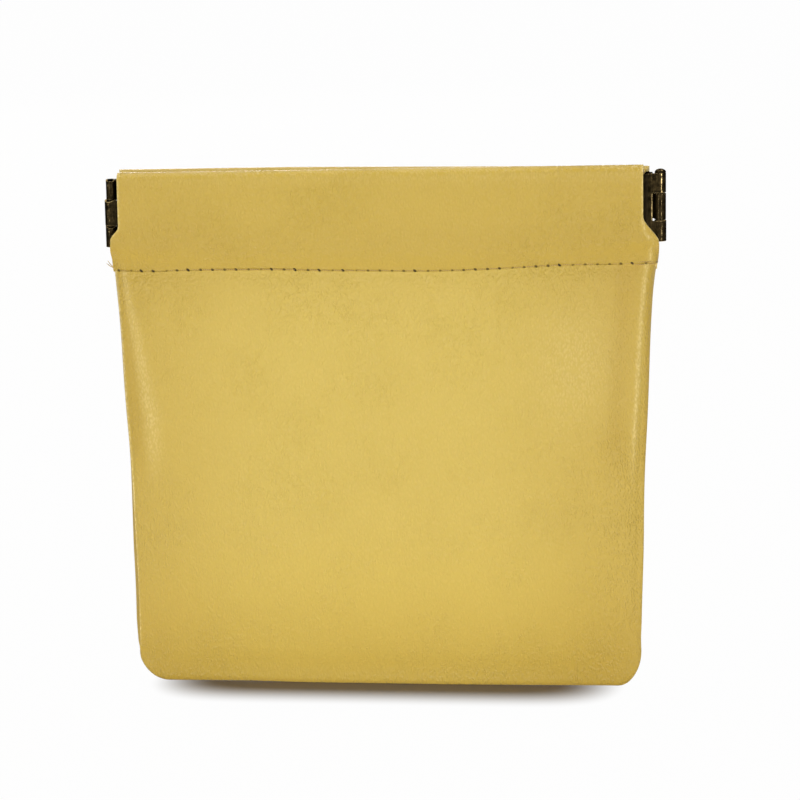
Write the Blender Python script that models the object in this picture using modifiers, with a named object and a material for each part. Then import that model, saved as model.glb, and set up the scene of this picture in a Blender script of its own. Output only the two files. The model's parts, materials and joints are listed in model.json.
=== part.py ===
"""Squeeze-top leather pouch.

A soft leather pocket hangs from a spring-steel squeeze frame. Two steel strips run in folded hems at
the mouth and meet in a knuckle hinge with an upright pin at each end. Squeezing the two hinges
together bows the strips apart and opens the mouth. The springs close it again.

Units are metres. X runs along the mouth, the front faces -Y, Z is up and the bottom edge is at Z = 0.
Each strip, with the hem round it, is two nodes that meet at the middle of the mouth, because it bends
there: this is a rigid-body reading of a strip that is really one piece.
"""

import math

import bmesh
import bpy

MM = 0.001
FRONT, BACK = -1.0, 1.0
LEFT, RIGHT = -1.0, 1.0

# Squeeze frame: two spring strips with rolled knuckles, and a pin through the knuckles at each end
PIN_REACH = 59.6 * MM  # from the middle to each pin's axis
STRIP_HEIGHT = 15.0 * MM
STRIP_THICK = 0.5 * MM
STRIP_MIDDLE_GAP = 0.15 * MM  # half the gap between a strip's two halves
PIN_RADIUS = 0.75 * MM
PIN_PLAY = 0.1 * MM
KNUCKLE_WALL = 0.45 * MM
KNUCKLE_GAP = 0.3 * MM  # between one knuckle and the next
LOWER_KNUCKLE = 4.7 * MM
UPPER_KNUCKLE = 4.4 * MM
KNUCKLE_CLEARANCE = 0.4 * MM  # from a strip's end to the other strip's knuckle
JOGGLE_LENGTH = 1.4 * MM
TAB_SINK = 0.02 * MM  # how far a tab's outer face lies inside the knuckle's round
TAB_SHORT = 0.3 * MM
PIN_FOOT = 0.3 * MM  # below the lowest knuckle
PIN_SUNK = 0.6 * MM  # the left pin's top, below the highest knuckle's rim
HEAD_RIM = 0.4 * MM  # the right pin's head, beyond the pin's round
HEAD_SEAT = 0.3 * MM
HEAD_HEIGHT = 0.8 * MM

# Leather
LEATHER = 0.9 * MM
LAYER_GAP = 0.3 * MM  # between two faces of leather that lie on each other
INNER_PLAY = 0.25 * MM  # from a strip to its hem's inner wall
OUTER_PLAY = 0.65 * MM  # and to the outer wall
POCKET_HEIGHT = 92.4 * MM
HEM_HEIGHT = 22.8 * MM
FOLD_PLAY = 1.6 * MM  # from a strip's top edge to the top of the fold
BOTTOM_HALF_WIDTH = 56.2 * MM
SEAM_SHORT = 0.4 * MM  # how far the top of the side seam stops short of the pin's axis
TAPER_SHARES = ((0.0, 0.0), (0.106, 0.04), (0.233, 0.09), (0.466, 0.24), (0.741, 0.565), (0.921, 0.87), (1.0, 1.0))
CORNER_RADIUS = 8.0 * MM
SEAM_BAND = 1.6 * MM
BELLY_HALF_DEPTH = 6.4 * MM
BELLY_HEIGHT = 37.2 * MM
MOUTH_SQUARENESS = 8
BELLY_SQUARENESS = 2.6
BELLY_ROUNDNESS = 0.62
BELLY_RISE = 0.6
STITCHED_BAND = 1.4 * MM  # of a hem's inner wall on its outer wall, above the stitches
SIDE_SEAM_RISE = 2.0 * MM  # the side seam's top, above the stitches
DRAW_DROP = 0.6 * MM  # below a strip, where its hem starts to draw in to the side seam
NARROW_DROP = 1.0 * MM  # below a strip, where its hem's inner wall starts to leave it
SHOULDER_RISE = 5.7 * MM  # above a strip's bottom edge, where the hem's end starts to curve out
SHOULDER_DROP = 1.3 * MM
HEM_OUTER_GAP = 1.15 * MM  # half the slit between a hem's two halves, in its outer wall
HEM_INNER_GAP = 1.65 * MM  # and in its inner wall, whose halves swing closer
# How far each hem's outer wall stops short of the pin's axis: the front hem bares the right strip's end
FRONT_LEFT_SHORT = 1.4 * MM
FRONT_RIGHT_SHORT = 3.7 * MM
BACK_LEFT_SHORT = 2.2 * MM
BACK_RIGHT_SHORT = 2.4 * MM

# Motion: each half strip turns this far when the mouth is fully open
HALF_TURN = math.radians(20)

# Counts of faces, and where a hem's columns stand
PANEL_COLUMNS = 30
PANEL_ROWS = 20
CORNER_ROWS = 6
HEM_COLUMN_SHARES = (0.0, 0.2, 0.42, 0.64, 0.82, 0.9, 0.94, 0.965, 0.982, 1.0)
FOLD_STEPS = 8
ROUND_STEPS = 28
HEAD_STEPS = 6

# What follows from those sizes: the frame
BORE_RADIUS = PIN_RADIUS + PIN_PLAY
KNUCKLE_RADIUS = BORE_RADIUS + KNUCKLE_WALL
STRIP_END = PIN_REACH - KNUCKLE_RADIUS - KNUCKLE_CLEARANCE
JOGGLE_START = STRIP_END - JOGGLE_LENGTH
TAB_OUTER_Y = KNUCKLE_RADIUS - TAB_SINK
STITCH_LINE = POCKET_HEIGHT + LAYER_GAP
MOUTH_TOP = STITCH_LINE + HEM_HEIGHT
STRIP_TOP = MOUTH_TOP - FOLD_PLAY
STRIP_BOTTOM = STRIP_TOP - STRIP_HEIGHT
KNUCKLE_SPLITS = (STRIP_BOTTOM, STRIP_BOTTOM + LOWER_KNUCKLE, STRIP_TOP - UPPER_KNUCKLE, STRIP_TOP)
PIN_BOTTOM = STRIP_BOTTOM - PIN_FOOT
LEFT_PIN_TOP = STRIP_TOP - PIN_SUNK
HEAD_BASE = STRIP_TOP + HEAD_SEAT
HEAD_TOP = HEAD_BASE + HEAD_HEIGHT

# The hems, as distances from the middle plane, and the heights at which they change
MOUTH_HALF_GAP = LAYER_GAP / 2
STRIP_INNER_Y = MOUTH_HALF_GAP + LEATHER + INNER_PLAY
STRIP_OUTER_Y = STRIP_INNER_Y + STRIP_THICK
MOUTH_HALF_DEPTH = STRIP_OUTER_Y + OUTER_PLAY + LEATHER
SEAM_HALF_DEPTH = MOUTH_HALF_GAP + LEATHER
FOLD_RADIUS = (MOUTH_HALF_DEPTH - MOUTH_HALF_GAP) / 2
HEM_END = JOGGLE_START - LAYER_GAP
HEM_STITCHED = STITCH_LINE + STITCHED_BAND
SEAM_TOP = STITCH_LINE + SIDE_SEAM_RISE
DRAW_TOP = STRIP_BOTTOM - DRAW_DROP
HEM_NARROWS = STRIP_BOTTOM - NARROW_DROP
SHOULDER_TOP = STRIP_BOTTOM + SHOULDER_RISE
SHOULDER_BOTTOM = STRIP_BOTTOM - SHOULDER_DROP
TOP_HALF_WIDTH = PIN_REACH - SEAM_SHORT
HEM_SHORT = {
    (FRONT, LEFT): FRONT_LEFT_SHORT,
    (FRONT, RIGHT): FRONT_RIGHT_SHORT,
    (BACK, LEFT): BACK_LEFT_SHORT,
    (BACK, RIGHT): BACK_RIGHT_SHORT,
}
FLEX_Y = MOUTH_HALF_GAP  # a strip bends about the face that looks into the mouth


def smooth(value, start, end):
    """0 before start, 1 after end, and an S between them."""
    t = min(max((value - start) / (end - start), 0.0), 1.0)
    return t * t * (3 - 2 * t)


def full_width(z):
    """Half the pouch's width at this height, before its bottom corners are rounded."""
    at = z / SHOULDER_BOTTOM
    for (low, first), (high, second) in zip(TAPER_SHARES, TAPER_SHARES[1:]):
        if at <= high:
            share = first + (second - first) * (at - low) / (high - low)
            return BOTTOM_HALF_WIDTH + (TOP_HALF_WIDTH - BOTTOM_HALF_WIDTH) * share
    return TOP_HALF_WIDTH


def steps(start, end, count):
    """Even steps from start to end, both ends included."""
    return [start + (end - start) * k / count for k in range(count + 1)]


def middle_travel():
    """How far the middle of a strip moves out when the mouth is fully open."""
    reach = math.hypot(PIN_REACH, FLEX_Y)
    return reach * math.sin(math.atan2(FLEX_Y, PIN_REACH) + HALF_TURN)


def pole(side, end, start_y, end_y):
    """The upright axis that turns a half by HALF_TURN and carries its middle from start_y to end_y."""
    turn = HALF_TURN * -side * end
    travel = end_y - start_y
    x = -travel / math.tan(turn / 2) / 2
    return (x, (start_y + end_y) / 2, 0.0)


def hem_pole(side, end):
    """The axis of half a hem: its outer face still meets its other half when the mouth is open."""
    open_y = middle_travel() + (MOUTH_HALF_DEPTH - FLEX_Y) / math.cos(HALF_TURN)
    return pole(side, end, side * MOUTH_HALF_DEPTH, side * open_y)


def pocket_depth(x, z):
    """The outer face's distance from the middle plane, over the pocket and the low part of the hems."""
    full = full_width(z)
    across = min(abs(x) / full, 1.0)
    mouth = SEAM_HALF_DEPTH + (MOUTH_HALF_DEPTH - SEAM_HALF_DEPTH) * math.sqrt(1 - across**MOUTH_SQUARENESS)
    if z >= POCKET_HEIGHT:
        return mouth
    inset = min(max((full - SEAM_BAND - abs(x)) / full, 0.0), 1.0)
    round_across = (1 - (1 - inset) ** BELLY_SQUARENESS) ** BELLY_ROUNDNESS
    rise = smooth(z, SEAM_BAND, BELLY_HEIGHT) ** BELLY_RISE
    belly = SEAM_HALF_DEPTH + (BELLY_HALF_DEPTH - SEAM_HALF_DEPTH) * round_across * rise
    share = smooth(z, POCKET_HEIGHT, BELLY_HEIGHT)
    return share * belly + (1 - share) * mouth


def half_width(z):
    """Half the pocket's width at this height, with the rounded bottom corners."""
    full = full_width(z)
    if z >= CORNER_RADIUS:
        return full
    drop = CORNER_RADIUS - z
    return full - CORNER_RADIUS + math.sqrt(CORNER_RADIUS**2 - drop**2)


def corner_share(x, z):
    """0 on the seam round a bottom corner, 1 well inside it."""
    in_x = full_width(z) - abs(x)
    if z >= CORNER_RADIUS or in_x >= CORNER_RADIUS:
        return 1.0
    from_centre = math.hypot(CORNER_RADIUS - z, CORNER_RADIUS - in_x)
    return smooth(CORNER_RADIUS - from_centre, SEAM_BAND, CORNER_RADIUS)


def hem_end(side, end, z):
    """Where a hem's outer wall stops: its end above, and the shoulder's curve out to the side seam."""
    above = PIN_REACH - HEM_SHORT[side, end]
    return above + (full_width(z) - above) * smooth(z, SHOULDER_TOP, SHOULDER_BOTTOM)


def hem_depth(x, z):
    """The outer face of a hem's outer wall: flat beside the strip, drawn in to the side seam below it."""
    drawn = smooth(z, DRAW_TOP, SEAM_TOP)
    return MOUTH_HALF_DEPTH + (pocket_depth(x, z) - MOUTH_HALF_DEPTH) * drawn


def inner_hem_depth(x, z):
    """The face of a hem's inner wall that looks into the mouth. Below the strip it lies on the outer wall."""
    stitched = max(MOUTH_HALF_GAP, hem_depth(x, z) - 2 * LEATHER - LAYER_GAP)
    return MOUTH_HALF_GAP + (stitched - MOUTH_HALF_GAP) * smooth(z, HEM_NARROWS, HEM_STITCHED)


def collection(name):
    made = bpy.data.collections.new(name)
    bpy.context.scene.collection.children.link(made)
    return made


def material(name, colour, metallic, roughness):
    made = bpy.data.materials.new(name)
    made.use_nodes = True
    shader = made.node_tree.nodes["Principled BSDF"]
    shader.inputs["Base Color"].default_value = (*colour, 1.0)
    shader.inputs["Metallic"].default_value = metallic
    shader.inputs["Roughness"].default_value = roughness
    return made


def node(name, mesh, look, origin):
    """The mesh, which is drawn in the object's frame, as a node whose origin is at its joint."""
    for vertex in mesh.vertices:
        vertex.co = [a - b for a, b in zip(vertex.co, origin)]
    made = bpy.data.objects.new(name, mesh)
    made.location = origin
    made.data.materials.append(look)
    POUCH.objects.link(made)
    return made


def sheet(name, rows, flipped, look, origin):
    """Leather whose grain side is this grid of points, thickened away from it."""
    if flipped:
        rows = [row[::-1] for row in rows]
    wide = len(rows[0])
    points = [point for row in rows for point in row]
    faces = [
        (j * wide + i, j * wide + i + 1, (j + 1) * wide + i + 1, (j + 1) * wide + i)
        for j in range(len(rows) - 1)
        for i in range(wide - 1)
    ]
    mesh = bpy.data.meshes.new(name)
    mesh.from_pydata(points, [], faces)
    made = node(name, mesh, look, origin)
    solid = made.modifiers.new("Leather thickness", "SOLIDIFY")
    solid.thickness = LEATHER
    solid.offset = -1.0
    solid.use_even_offset = True
    return made


def panel(name, side, look):
    """One side of the pocket, below the stitch line."""
    corner = [CORNER_RADIUS * (1 - math.cos(math.pi / 2 * k / CORNER_ROWS)) for k in range(1, CORNER_ROWS)]
    heights = [0.0, SEAM_BAND / 2, *corner, *steps(CORNER_RADIUS, POCKET_HEIGHT, PANEL_ROWS)]
    rows = []
    for z in sorted(heights):
        wide = half_width(z)
        row = []
        for k in range(PANEL_COLUMNS + 1):
            x = wide * math.sin(math.pi / 2 * (2 * k / PANEL_COLUMNS - 1))
            in_band = z < SEAM_BAND or full_width(z) - abs(x) < SEAM_BAND and z < POCKET_HEIGHT - SEAM_BAND
            rise = 0.0 if in_band else (pocket_depth(x, z) - SEAM_HALF_DEPTH) * corner_share(x, z)
            row.append((x, side * (SEAM_HALF_DEPTH + rise), z))
        rows.append(row)
    return sheet(name, rows, side == BACK, look, (0.0, 0.0, 0.0))


def hem(name, side, end, look):
    """Half of a folded hem: up the inner wall, over the fold and down the outer wall to the stitches."""
    fold_z = MOUTH_TOP - FOLD_RADIUS
    inner = [STITCH_LINE, *steps(HEM_STITCHED, HEM_NARROWS, 3), *steps(STRIP_BOTTOM, fold_z, 2)]
    outer = [*steps(fold_z, SHOULDER_TOP, 2), *steps(SHOULDER_TOP, DRAW_TOP, 5)[1:]]
    outer += [*steps(DRAW_TOP, SEAM_TOP, 4)[1:], STITCH_LINE]
    rows = []
    for z in inner:
        rows.append([(x, inner_hem_depth(x, z), z) for x in columns(HEM_INNER_GAP, HEM_END)])
    for k in range(1, FOLD_STEPS):
        angle = math.pi * k / FOLD_STEPS
        y = MOUTH_HALF_GAP + FOLD_RADIUS * (1 - math.cos(angle))
        z = fold_z + FOLD_RADIUS * math.sin(angle)
        turn = smooth(angle, 0.0, math.pi)
        gap = HEM_INNER_GAP + (HEM_OUTER_GAP - HEM_INNER_GAP) * turn
        reach = HEM_END + (hem_end(side, end, fold_z) - HEM_END) * turn
        rows.append([(x, y, z) for x in columns(gap, reach)])
    for z in outer:
        rows.append([(x, hem_depth(x, z), z) for x in columns(HEM_OUTER_GAP, hem_end(side, end, z))])
    rows = [[(end * x, side * y, z) for x, y, z in row] for row in rows]
    return sheet(name, rows, side * end < 0, look, hem_pole(side, end))


def columns(start, reach):
    """A hem's columns, from the middle of the mouth out, close together near its end."""
    return [start + (reach - start) * share for share in HEM_COLUMN_SHARES]


def prism(name, plan, low, high):
    """A mesh of this plan outline, upright from low to high."""
    shape = bmesh.new()
    face = shape.faces.new([shape.verts.new((x, y, low)) for x, y in plan])
    raised = bmesh.ops.extrude_face_region(shape, geom=[face])
    moved = [item for item in raised["geom"] if isinstance(item, bmesh.types.BMVert)]
    bmesh.ops.translate(shape, verts=moved, vec=(0.0, 0.0, high - low))
    bmesh.ops.recalc_face_normals(shape, faces=shape.faces)
    mesh = bpy.data.meshes.new(name)
    shape.to_mesh(mesh)
    shape.free()
    return mesh


def turned(name, profile, centre):
    """A mesh turned round the upright line at centre, from (radius, height) points on a closed or end-on line."""
    shape = bmesh.new()
    on_axis = profile[0][0] == 0.0
    rings = []
    for radius, z in profile:
        if radius == 0.0:
            rings.append([shape.verts.new((centre, 0.0, z))])
            continue
        angles = [2 * math.pi * k / ROUND_STEPS for k in range(ROUND_STEPS)]
        rings.append([shape.verts.new((centre + radius * math.cos(a), radius * math.sin(a), z)) for a in angles])
    pairs = list(zip(rings, rings[1:]))
    if not on_axis:
        pairs.append((rings[-1], rings[0]))
    for low, high in pairs:
        for k in range(ROUND_STEPS):
            n = (k + 1) % ROUND_STEPS
            corners = [low[k % len(low)], low[n % len(low)], high[n % len(high)], high[k % len(high)]]
            shape.faces.new(list(dict.fromkeys(corners)))
    bmesh.ops.recalc_face_normals(shape, faces=shape.faces)
    mesh = bpy.data.meshes.new(name)
    shape.to_mesh(mesh)
    shape.free()
    return mesh


def joined(made, mesh):
    """Adds this mesh to a node with a Boolean union."""
    tool = bpy.data.objects.new(mesh.name, mesh)
    tool.hide_render = True
    tool.display_type = "WIRE"
    CUTTERS.objects.link(tool)
    union = made.modifiers.new(mesh.name, "BOOLEAN")
    union.operation = "UNION"
    union.solver = "EXACT"
    union.object = tool


def spring(name, side, end, knuckles, look, origin):
    """Half of a spring strip, with the knuckles rolled from its end. knuckles counts from the bottom."""
    leaf = [
        (STRIP_MIDDLE_GAP, STRIP_INNER_Y),
        (JOGGLE_START, STRIP_INNER_Y),
        (STRIP_END, BORE_RADIUS),
        (STRIP_END, TAB_OUTER_Y),
        (JOGGLE_START, STRIP_OUTER_Y),
        (STRIP_MIDDLE_GAP, STRIP_OUTER_Y),
    ]
    tab = [
        (STRIP_END - TAB_SHORT, BORE_RADIUS + TAB_SHORT),
        (STRIP_END, BORE_RADIUS),
        (PIN_REACH - TAB_SHORT, BORE_RADIUS),
        (PIN_REACH, TAB_OUTER_Y),
        (STRIP_END, TAB_OUTER_Y),
    ]
    leaf, tab = ([(end * x, side * y) for x, y in plan] for plan in (leaf, tab))
    made = node(name, prism(name, leaf, STRIP_BOTTOM, STRIP_TOP), look, origin)
    for k in knuckles:
        low = KNUCKLE_SPLITS[k] + (KNUCKLE_GAP / 2 if k > 0 else 0.0)
        high = KNUCKLE_SPLITS[k + 1] - (KNUCKLE_GAP / 2 if k < 2 else 0.0)
        ring = [(BORE_RADIUS, low), (KNUCKLE_RADIUS, low), (KNUCKLE_RADIUS, high), (BORE_RADIUS, high)]
        joined(made, turned(f"{name} knuckle {k}", ring, end * PIN_REACH))
        joined(made, prism(f"{name} tab {k}", tab, low, high))
    return made


def pin(name, end, headed, look, origin):
    """An upright pin through the three knuckles of one end. Only the one that was put in last has a head."""
    profile = [(0.0, PIN_BOTTOM), (PIN_RADIUS, PIN_BOTTOM)]
    if headed:
        profile.append((PIN_RADIUS, HEAD_BASE))
        for angle in steps(0.0, math.pi / 2, HEAD_STEPS):
            radius = (PIN_RADIUS + HEAD_RIM) * math.cos(angle)
            profile.append((radius, HEAD_BASE + HEAD_HEIGHT * math.sin(angle)))
        profile[-1] = (0.0, HEAD_TOP)
    else:
        profile += [(PIN_RADIUS, LEFT_PIN_TOP), (0.0, LEFT_PIN_TOP)]
    return node(name, turned(name, profile, end * PIN_REACH), look, origin)


for old in list(bpy.data.objects):
    bpy.data.objects.remove(old, do_unlink=True)
POUCH = collection("squeeze_top_leather_pouch")
CUTTERS = collection("cutters")

LEATHER_LOOK = (0.58, 0.42, 0.085)
HEM_LOOK = (0.55, 0.4, 0.08)
STEEL_LOOK = (0.16, 0.11, 0.055)
PIN_LOOK = (0.22, 0.16, 0.08)

panel("front_panel", FRONT, material("front panel leather", LEATHER_LOOK, 0.0, 0.45))
panel("back_panel", BACK, material("back panel leather", LEATHER_LOOK, 0.0, 0.45))
hem("front_hem_left", FRONT, LEFT, material("front hem leather, left", HEM_LOOK, 0.0, 0.45))
hem("front_hem_right", FRONT, RIGHT, material("front hem leather, right", HEM_LOOK, 0.0, 0.45))
hem("back_hem_left", BACK, LEFT, material("back hem leather, left", HEM_LOOK, 0.0, 0.45))
hem("back_hem_right", BACK, RIGHT, material("back hem leather, right", HEM_LOOK, 0.0, 0.45))

BACK_RIGHT_POLE = pole(BACK, RIGHT, FLEX_Y, middle_travel())
RIGHT_PIN_AXIS = (PIN_REACH, 0.0, 0.0)
FRONT_FLEX = (0.0, -FLEX_Y, 0.0)
BACK_FLEX = (0.0, FLEX_Y, 0.0)
BRONZE = {"metallic": 1.0, "roughness": 0.4}
spring(
    "front_spring_right", FRONT, RIGHT, (0, 2), material("front strip steel, right", STEEL_LOOK, **BRONZE), RIGHT_PIN_AXIS
)
spring("front_spring_left", FRONT, LEFT, (1,), material("front strip steel, left", STEEL_LOOK, **BRONZE), FRONT_FLEX)
spring(
    "back_spring_right", BACK, RIGHT, (1,), material("back strip steel, right", STEEL_LOOK, **BRONZE), BACK_RIGHT_POLE
)
spring("back_spring_left", BACK, LEFT, (0, 2), material("back strip steel, left", STEEL_LOOK, **BRONZE), BACK_FLEX)
pin("right_pin", RIGHT, True, material("right pin steel", PIN_LOOK, **BRONZE), RIGHT_PIN_AXIS)
pin("left_pin", LEFT, False, material("left pin steel", PIN_LOOK, **BRONZE), BACK_FLEX)
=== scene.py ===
"""The looks of a squeeze-top leather pouch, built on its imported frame.

Sections follow the way that the pouch is put together: the pocket's two leather panels, the folded
hems, the stitching, the two spring strips, the pins, and then the table it stands on, the lamps and
the camera. Sizes are in metres, the front faces -Y and the bottom edge stands at Z = 0.
"""

import json
import math
import random

import bmesh
import bpy
import numpy as np
from mathutils import Matrix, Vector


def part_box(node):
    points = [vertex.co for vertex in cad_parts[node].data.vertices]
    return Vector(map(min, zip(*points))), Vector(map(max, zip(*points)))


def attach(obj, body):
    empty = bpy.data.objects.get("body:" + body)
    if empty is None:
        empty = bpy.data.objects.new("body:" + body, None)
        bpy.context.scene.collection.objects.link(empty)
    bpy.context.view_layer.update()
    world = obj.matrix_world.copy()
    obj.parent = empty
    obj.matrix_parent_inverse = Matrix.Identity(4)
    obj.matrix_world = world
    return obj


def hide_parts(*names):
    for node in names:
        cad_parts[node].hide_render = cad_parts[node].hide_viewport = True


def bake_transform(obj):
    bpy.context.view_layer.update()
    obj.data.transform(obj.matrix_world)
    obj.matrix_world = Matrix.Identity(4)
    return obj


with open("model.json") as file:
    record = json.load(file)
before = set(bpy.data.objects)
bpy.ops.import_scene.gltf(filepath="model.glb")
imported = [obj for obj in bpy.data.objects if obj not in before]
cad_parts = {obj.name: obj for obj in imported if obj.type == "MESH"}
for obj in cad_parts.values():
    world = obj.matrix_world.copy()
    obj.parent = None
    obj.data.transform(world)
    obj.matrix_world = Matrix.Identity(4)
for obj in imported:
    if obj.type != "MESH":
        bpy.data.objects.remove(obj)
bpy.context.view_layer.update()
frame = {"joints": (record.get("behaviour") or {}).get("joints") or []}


# The pocket: two panels of soft mustard-yellow leather, sewn together inside out down the sides and
# along the bottom and then turned, so that the seam sits in a fine groove between two rolled edges.
# Empty, it has a slight belly, and its top edge runs on into the folded hem above the stitches.

MM = 0.001
FRONT, BACK = -1.0, 1.0  # along Y
LEFT, RIGHT = -1.0, 1.0  # along X
LEATHER = 0.9 * MM
POCKET_TOP = 92.7 * MM  # the line of stitches
TOP_HALF_WIDTH = 59.2 * MM
BOTTOM_HALF_WIDTH = 56.2 * MM
TAPER = ((0.0, 0.0), (0.106, 0.04), (0.233, 0.09), (0.466, 0.24), (0.741, 0.565), (0.921, 0.87), (1.0, 1.0))
TAPER_TOP = 97.6 * MM
TAPER_BLEND = 6.0 * MM  # how far the bends between the taper's stretches are rounded off
CORNERS = {LEFT: (6.8 * MM, 7.5 * MM), RIGHT: (5.3 * MM, 8.5 * MM)}  # how wide and how high each is rounded
CORNER_REACH = 8.0 * MM  # how far in the bottom corners flatten the belly
SEAM_ROLL = 1.5 * MM
SEAM_HALF_DEPTH = 1.05 * MM
SEAM_GROOVE = 0.35 * MM  # how deep it is, and how far it reaches to the front and to the back
MOUTH_HALF_DEPTH = -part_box("front_hem_left")[0][1]
MOUTH_SQUARENESS = 8
BELLY_HALF_DEPTH = 6.4 * MM
BELLY_HEIGHT = 37.2 * MM
BELLY_START = 1.6 * MM  # inside the seams
BELLY_SQUARENESS, BELLY_ROUNDNESS = 2.6, 0.62  # across the pocket
BELLY_RISE = 0.6  # below 1 it swells out early above the bottom seam
LEAN = 0.42 * MM  # how far left of its mouth the empty pocket hangs
STITCH_PULL = 0.5 * MM  # how far the stitches draw the leather in
STITCH_REACH = 2.4 * MM
STITCH_PITCH = 2.6 * MM
STITCH_START = {FRONT: -59.2 * MM, BACK: -58.5 * MM}
WRAP_DEPTH, WRAP_REACH, WRAP_SPREAD = 0.8, 2.2, 1.3  # what the wrap at the left seam moves, as shares of it
FLAP = 1.9 * MM  # how far each half of a panel runs on under the other
FLAP_DIVE = 0.13  # and the share of its depth that it loses with each millimetre
FLAP_RISE = 0.3 * MM
FLESH_PRESSED = 0.65  # the share of its depth that the flesh side loses at the seam
FLESH_DRAWN_IN = 0.7 * MM
PANEL_DENSE = 0.13  # the outer share of a panel's half in which its grid lines lie closer together
PANEL_LIGHT, PANEL_DEEP = (0.68, 0.49, 0.092), (0.54, 0.357, 0.046)
# the pale yellow of the painted highlights on the leather
RUBBED = (0.95, 0.77, 0.33)


def smooth(value, start, end):
    """0 before start, 1 after end, and an S between them."""
    t = np.clip((value - start) / (end - start), 0.0, 1.0)
    return t * t * (3 - 2 * t)


def hill(value, middle, reach):
    """1 at the middle, about a third at one reach from it, and nothing further off."""
    return np.exp(-(((value - middle) / reach) ** 2))


def full_width(z):
    """Half the pouch's width at this height, before its bottom corners are rounded."""
    at, share = np.array(TAPER).T
    near = (-TAPER_BLEND, 0.0, TAPER_BLEND)
    wide = [np.interp(np.clip((z + shift) / TAPER_TOP, 0, 1), at, share) for shift in near]
    return BOTTOM_HALF_WIDTH + (TOP_HALF_WIDTH - BOTTOM_HALF_WIDTH) * sum(wide) / 3


def corner_of(end):
    """How wide and how high the bottom corner is rounded on this side."""
    return (np.where(np.asarray(end) < 0, left, right) for left, right in zip(CORNERS[LEFT], CORNERS[RIGHT]))


def half_width(z, end):
    """Half the pocket's width at this height on the left (-1) or right (1), with the rounded corner."""
    wide, high = corner_of(end)
    drop = np.clip(high - z, 0.0, high) / high
    return full_width(z) - wide + wide * np.sqrt(1 - drop**2)


def edge_distance(x, z):
    """How far a point of the panel lies inside the seam, along the shortest way."""
    side = full_width(z) - np.abs(x)
    wide, high = corner_of(x)
    in_corner = (side < wide) & (z < high)
    across, down = wide - side, high - z
    reach = np.maximum(np.hypot(across / wide, down / high), 1e-6)
    round_off = (1 / reach - 1) * np.hypot(across, down)
    return np.maximum(np.where(in_corner, round_off, np.minimum(side, z)), 0.0)


def stitch_rise(side, x):
    """The stitches and the fold aren't quite level: the leather was folded over by hand."""
    if side == FRONT:
        at = (-60, -50, -42, -23, -12, 0, 10, 17, 24, 30, 37, 44, 52, 60)
        rise = (0.7, 0.68, 1.0, 1.18, 0.98, 0.95, 0.9, 1.1, 1.42, 1.74, 2.18, 2.4, 2.5, 2.6)
        return np.interp(x / MM, at, rise) * MM
    return np.interp(x / MM, (-60, -30, 0, 60), (1.2, 1.0, 1.1, 1.3)) * MM


def seam_wander(end, z):
    """How far the side seams stray outwards from their line: sewn by eye, then turned."""
    z = np.asarray(z) / MM
    left = 0.4 * hill(z, 96, 4) + 0.07 * np.sin(z / 4.7) + 0.06 * np.sin(z / 9.1 + 1)
    right = 0.25 * hill(z, 95.5, 3) - 0.12 * hill(z, 11, 2.4) + 0.08 * np.sin(z / 5.3 + 2)
    return np.where(np.asarray(end) < 0, left, right) * smooth(z, 3, 8) * MM


def lean(z):
    """How far the pocket hangs aside of its mouth at this height."""
    return -LEAN * (1 - smooth(z, 86 * MM, 98.5 * MM))


def pocket_depth(x, z):
    """The grain face's distance from the middle plane."""
    full = full_width(z)
    across = np.minimum(np.abs(x) / full, 1.0)
    squared = np.sqrt(1 - across**MOUTH_SQUARENESS)
    mouth = SEAM_HALF_DEPTH + (MOUTH_HALF_DEPTH - SEAM_HALF_DEPTH) * squared
    inset = np.clip((full - BELLY_START - np.abs(x)) / full, 0.0, 1.0)
    swell = (1 - (1 - inset) ** BELLY_SQUARENESS) ** BELLY_ROUNDNESS
    rise = smooth(z, BELLY_START, BELLY_HEIGHT) ** BELLY_RISE
    belly = SEAM_HALF_DEPTH + (BELLY_HALF_DEPTH - SEAM_HALF_DEPTH) * swell * rise
    share = smooth(z, POCKET_TOP, BELLY_HEIGHT)
    return share * belly + (1 - share) * mouth


def softness(side, x, z):
    """The leather's slight waves: long over the pocket, short at the stitches, and one soft bulge."""
    x, z = x / MM, z / MM
    long = np.sin(x / 17 + side) * np.sin(z / 23 + 1.3 * side) + 0.6 * np.sin(x / 9.5 - z / 31 + 2.1 * side)
    short = np.sin(x / 3.7 + 0.8 * np.sin(x / 11)) * hill(z, 88, 9)
    drawn = np.sin(x / 6.1 + 1.7 * side + 0.3 * np.sin(z / 8)) * hill(z, 76, 16)
    bulge = 0.5 * hill(x, -43 * side, 9) * hill(z, 73, 15)
    return (0.09 * long + 0.035 * short + 0.06 * drawn + bulge) * MM


def seam_crest(x, z):
    """How far inside the seam the edge of the seam allowance shows, in millimetres, and half its width."""
    left = np.interp(z / MM, (60, 78, 92), (6.5, 4.5, 2.6))
    right = np.interp(z / MM, (60, 92), (2.8, 2.0))
    crest = np.where(x < 0, left, right)
    return crest, np.where(x < 0, 0.4 * crest, 0.7)


def seam_ridge(x, z, distance):
    """The seam allowance inside stands up along the side seams as a ridge, with a shallow valley by it."""
    crest, wide = seam_crest(x, z)
    z, distance = z / MM, distance / MM
    ridge = 0.3 * hill(distance, crest, wide)
    valley = 0.26 * hill(distance, crest + 3.4, 2.0) * np.where(x < 0, 0.2, 1.0)
    return (ridge - valley) * smooth(z, 44.0, 66.0) * MM


def seam_wrap(x, z):
    """Low on the left the back panel comes round the edge, so that the seam shows from the front."""
    wrap = np.interp(z / MM, (5, 9, 14, 30, 45, 60, 84, 92), (0, 0.9, 1.15, 1.1, 0.7, 0.45, 0.3, 0.0))
    return np.where(x < 0, wrap, 0.0) * MM


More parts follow.
